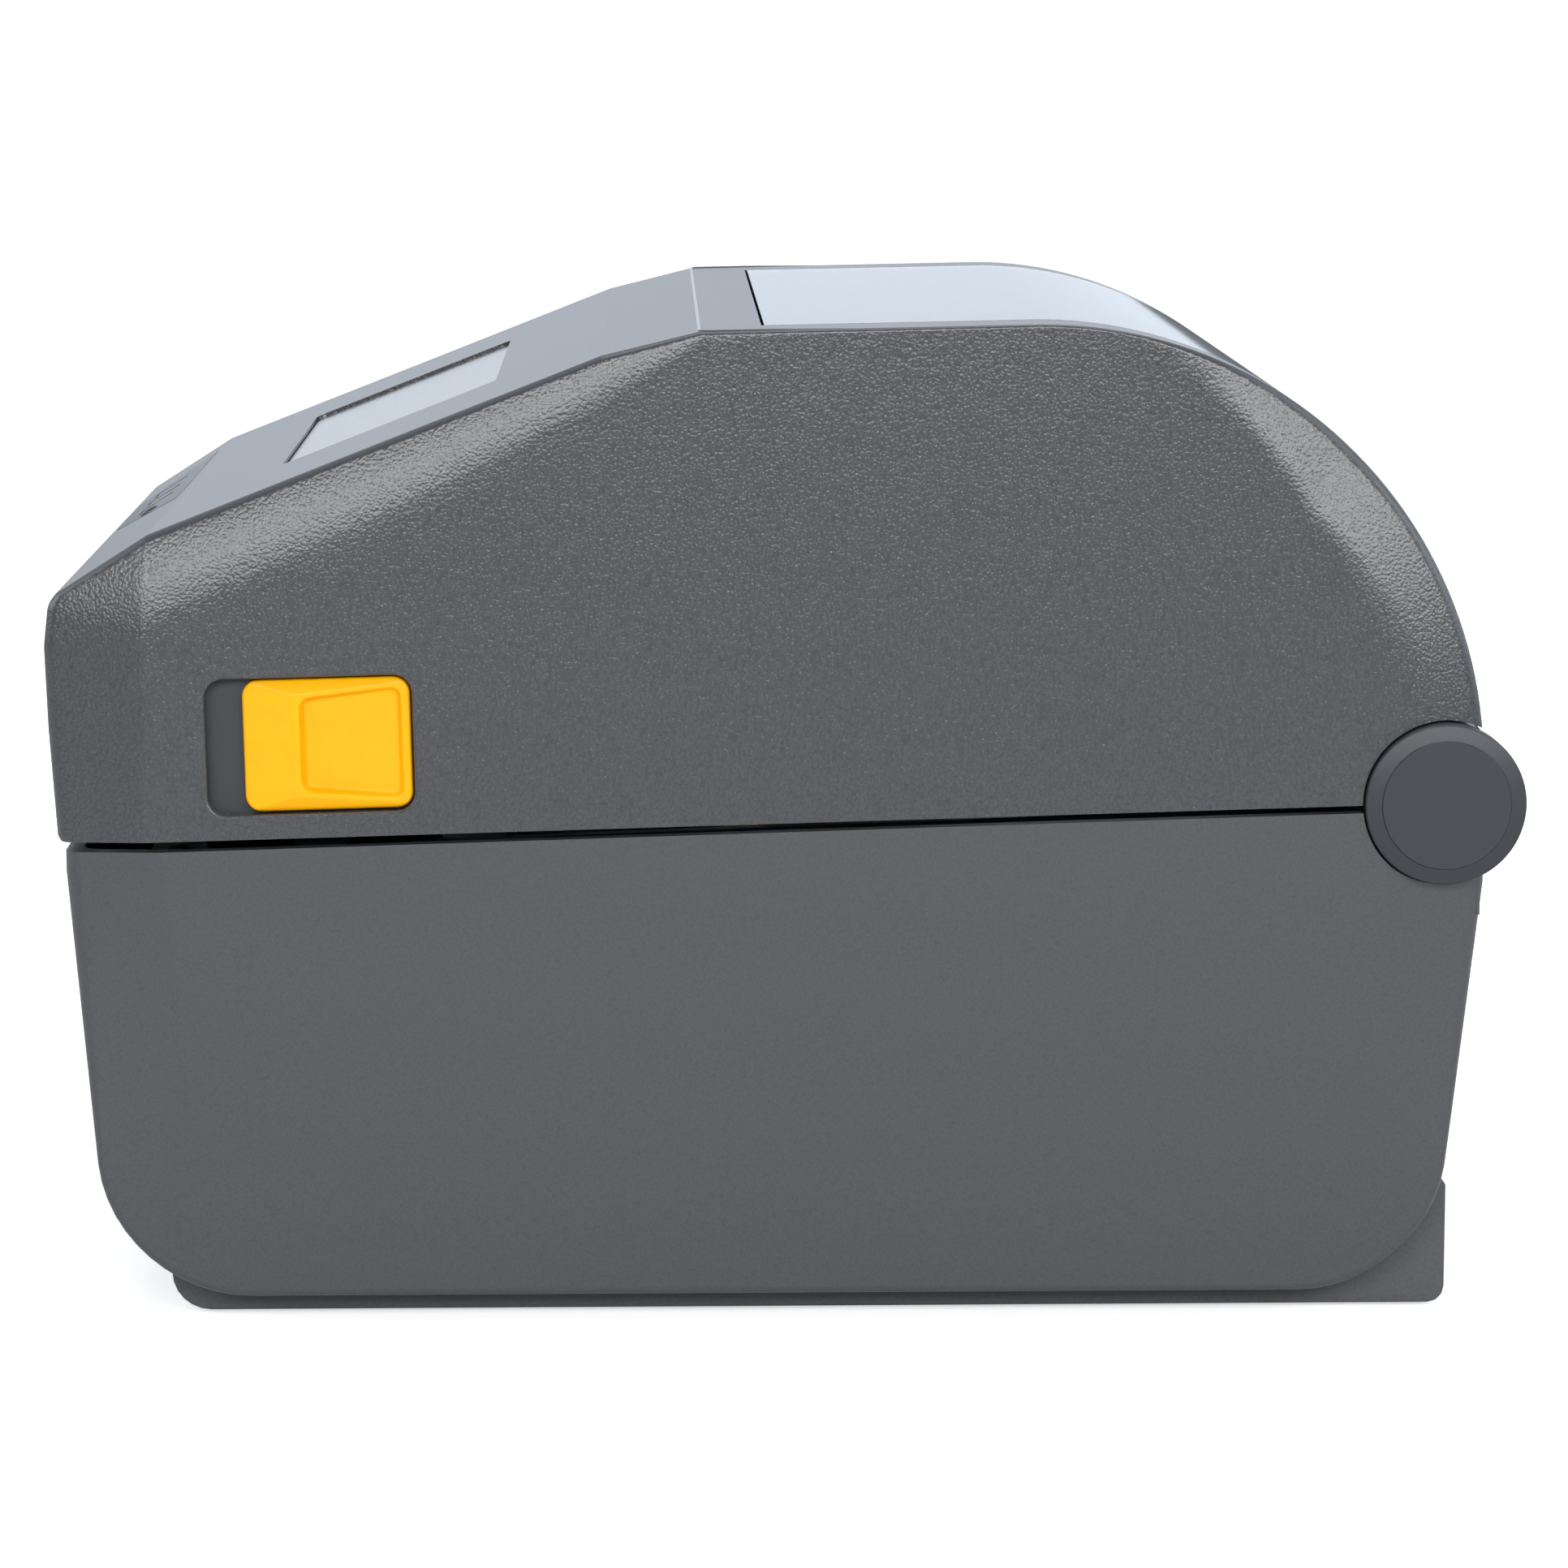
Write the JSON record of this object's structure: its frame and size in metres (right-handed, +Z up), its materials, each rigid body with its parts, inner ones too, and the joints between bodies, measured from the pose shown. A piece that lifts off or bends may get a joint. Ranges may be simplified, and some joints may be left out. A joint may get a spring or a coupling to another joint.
{
  "type": "direct thermal printer",
  "caption": "Desktop label printer with a hinged rounded cover, window, release latches, buttons, a tilting print head, a geared platen and a roll bay with centring holders.",
  "frame": {"origin": "on the floor under the middle of the outline", "axes": "+X to the right seen from the front, +Y from the front to the hinge at the back, +Z up"},
  "size_m": [0.177, 0.2216, 0.1511],
  "materials": {
    "base_housing": "fine leather-grain moulding",
    "bottom_pan": "fine textured moulding",
    "button_panel": "satin moulding",
    "cancel_button": "satin moulding",
    "catch_left": "plated sheet and bar",
    "catch_right": "plated sheet and bar",
    "centering_pin": "plated sheet and bar",
    "centering_pinion": "natural moulded plastic",
    "control_panel": "glossy pale overlay",
    "cover_shell": "fine leather-grain moulding",
    "cover_window": "clear glossy sheet",
    "feed_button": "satin moulding",
    "foot_front_left": "matte rubber",
    "foot_front_right": "matte rubber",
    "foot_rear_left": "matte rubber",
    "foot_rear_right": "matte rubber",
    "front_bezel": "fine leather-grain moulding",
    "head_bracket": "plated sheet and bar",
    "head_frame": "fine textured moulding",
    "head_pivot_pin": "plated sheet and bar",
    "head_spring_left": "plated sheet and bar",
    "head_spring_right": "plated sheet and bar",
    "hinge_cap_left": "fine textured moulding",
    "hinge_cap_right": "fine textured moulding",
    "hinge_pin_left": "plated sheet and bar",
    "hinge_pin_right": "plated sheet and bar",
    "holder_rack_left": "natural moulded plastic",
    "holder_rack_right": "natural moulded plastic",
    "hook_shaft": "plated sheet and bar",
    "idler_gear": "natural moulded plastic",
    "idler_pin": "plated sheet and bar",
    "io_board": "green solder mask",
    "latch_frame_left": "fine textured moulding",
    "latch_frame_right": "fine textured moulding",
    "latch_left": "satin coloured moulding",
    "latch_right": "satin coloured moulding",
    "main_board": "green solder mask",
    "mark_sensor": "satin moulding",
    "media_tray": "fine textured moulding",
    "motor": "plated sheet and bar",
    "motor_pinion": "natural moulded plastic",
    "panel_board": "green solder mask",
    "pause_button": "satin moulding",
    "platen_bearing_left": "natural moulded plastic",
    "platen_bearing_right": "natural moulded plastic",
    "platen_gear": "natural moulded plastic",
    "platen_roller": "matte rubber",
    "platen_shaft": "plated sheet and bar",
    "power_jack": "plain moulding",
    "power_switch": "satin moulding",
    "print_frame": "plated sheet and bar",
    "printhead": "machined heat sink",
    "rear_module_cover": "fine textured moulding",
    "roll_holder_left": "satin coloured moulding",
    "roll_holder_right": "satin coloured moulding",
    "status_light": "translucent light guide",
    "switch_body": "plain moulding",
    "tear_bar": "plated sheet and bar",
    "usb_port": "plain moulding"
  },
  "bodies": {
    "base": {"base_housing": "base_housing", "bottom_pan": "bottom_pan", "foot_front_left": "foot_front_left", "foot_front_right": "foot_front_right", "foot_rear_left": "foot_rear_left", "foot_rear_right": "foot_rear_right", "front_bezel": "front_bezel", "tear_bar": "tear_bar", "rear_module_cover": "rear_module_cover", "power_jack": "power_jack", "usb_port": "usb_port", "switch_body": "switch_body", "io_board": "io_board", "main_board": "main_board", "media_tray": "media_tray", "print_frame": "print_frame", "platen_bearing_left": "platen_bearing_left", "platen_bearing_right": "platen_bearing_right", "idler_pin": "idler_pin", "motor": "motor", "catch_left": "catch_left", "catch_right": "catch_right", "hinge_cap_left": "hinge_cap_left", "hinge_cap_right": "hinge_cap_right", "hinge_pin_left": "hinge_pin_left", "hinge_pin_right": "hinge_pin_right", "centering_pin": "centering_pin"},
    "cover": {"cover_shell": "cover_shell", "cover_window": "cover_window", "latch_frame_left": "latch_frame_left", "latch_frame_right": "latch_frame_right", "head_frame": "head_frame", "head_pivot_pin": "head_pivot_pin", "control_panel": "control_panel", "button_panel": "button_panel", "status_light": "status_light", "panel_board": "panel_board"},
    "hook": {"hook_shaft": "hook_shaft"},
    "latch_left": {"latch_left": "latch_left"},
    "latch_right": {"latch_right": "latch_right"},
    "head": {"printhead": "printhead", "head_bracket": "head_bracket", "head_spring_left": "head_spring_left", "head_spring_right": "head_spring_right"},
    "pause_button": {"pause_button": "pause_button"},
    "feed_button": {"feed_button": "feed_button"},
    "cancel_button": {"cancel_button": "cancel_button"},
    "platen": {"platen_roller": "platen_roller", "platen_shaft": "platen_shaft", "platen_gear": "platen_gear"},
    "idler": {"idler_gear": "idler_gear"},
    "motor_pinion": {"motor_pinion": "motor_pinion"},
    "holder_right": {"roll_holder_right": "roll_holder_right", "holder_rack_right": "holder_rack_right"},
    "holder_left": {"roll_holder_left": "roll_holder_left", "holder_rack_left": "holder_rack_left"},
    "centering_pinion": {"centering_pinion": "centering_pinion"},
    "mark_sensor": {"mark_sensor": "mark_sensor"},
    "power_switch": {"power_switch": "power_switch"}
  },
  "joints": [
    {"name": "cover_hinge", "type": "hinge", "parent": "base", "child": "cover", "pos_m": [0, 0.0987, 0.0795], "axis": [-1, 0, 0], "range_deg": [0, 95]},
    {"name": "hook_turn", "type": "hinge", "parent": "cover", "child": "hook", "pos_m": [0, -0.07, 0.116], "axis": [-1, 0, 0], "range_deg": [0, 10.7], "stiffness_Nm_per_rad": 0.3, "springref_deg": -5.73},
    {"name": "latch_right_slide", "type": "slide", "parent": "cover", "child": "latch_right", "axis": [0, -0.9996, -0.0268], "range_m": [0, 0.005]},
    {"name": "latch_left_slide", "type": "slide", "parent": "cover", "child": "latch_left", "axis": [0, -0.9996, -0.0268], "range_m": [0, 0.005]},
    {"name": "head_tilt", "type": "hinge", "parent": "cover", "child": "head", "pos_m": [0, -0.062, 0.088], "axis": [-1, 0, 0], "range_deg": [0, 2.5], "stiffness_Nm_per_rad": 2, "springref_deg": -2.86, "deforming": ["head_spring_left", "head_spring_right"]},
    {"name": "pause_press", "type": "slide", "parent": "cover", "child": "pause_button", "axis": [0, 0.5377, -0.8432], "range_m": [0, 0.0008], "stiffness_N_per_m": 600, "springref_m": -0.0005},
    {"name": "feed_press", "type": "slide", "parent": "cover", "child": "feed_button", "axis": [0, 0.5377, -0.8432], "range_m": [0, 0.0008], "stiffness_N_per_m": 600, "springref_m": -0.0005},
    {"name": "cancel_press", "type": "slide", "parent": "cover", "child": "cancel_button", "axis": [0, 0.5377, -0.8432], "range_m": [0, 0.0008], "stiffness_N_per_m": 600, "springref_m": -0.0005},
    {"name": "platen_spin", "type": "hinge", "parent": "base", "child": "platen", "pos_m": [0, -0.0924, 0.0675], "axis": [1, 0, 0], "continuous": true},
    {"name": "idler_spin", "type": "hinge", "parent": "base", "child": "idler", "pos_m": [-0.07, -0.07597, 0.04846], "axis": [1, 0, 0], "continuous": true},
    {"name": "motor_spin", "type": "hinge", "parent": "base", "child": "motor_pinion", "pos_m": [-0.07, -0.06174, 0.03419], "axis": [1, 0, 0], "continuous": true},
    {"name": "holder_right_slide", "type": "slide", "parent": "base", "child": "holder_right", "axis": [-1, 0, 0], "range_m": [0, 0.044]},
    {"name": "holder_left_slide", "type": "slide", "parent": "base", "child": "holder_left", "axis": [1, 0, 0], "range_m": [0, 0.044]},
    {"name": "centering_spin", "type": "hinge", "parent": "base", "child": "centering_pinion", "pos_m": [0, 0.012, 0.0095], "axis": [0, 0, 1], "range_deg": [0, 316]},
    {"name": "sensor_slide", "type": "slide", "parent": "base", "child": "mark_sensor", "axis": [1, 0, 0], "range_m": [-0.036, 0.036]},
    {"name": "power_rocker", "type": "hinge", "parent": "base", "child": "power_switch", "pos_m": [0.061, 0.0993, 0.035], "axis": [-1, 0, 0], "range_deg": [0, 14]}
  ],
  "couplings": [
    {"joint": "latch_right_slide", "follows": "hook_turn", "m_per_rad": 0.0267},
    {"joint": "latch_left_slide", "follows": "hook_turn", "m_per_rad": 0.0267},
    {"joint": "idler_spin", "follows": "platen_spin", "ratio": -0.78571},
    {"joint": "motor_spin", "follows": "platen_spin", "ratio": 1.8333},
    {"joint": "holder_left_slide", "follows": "holder_right_slide", "ratio": 1},
    {"joint": "centering_spin", "follows": "holder_right_slide", "rad_per_m": 125}
  ]
}
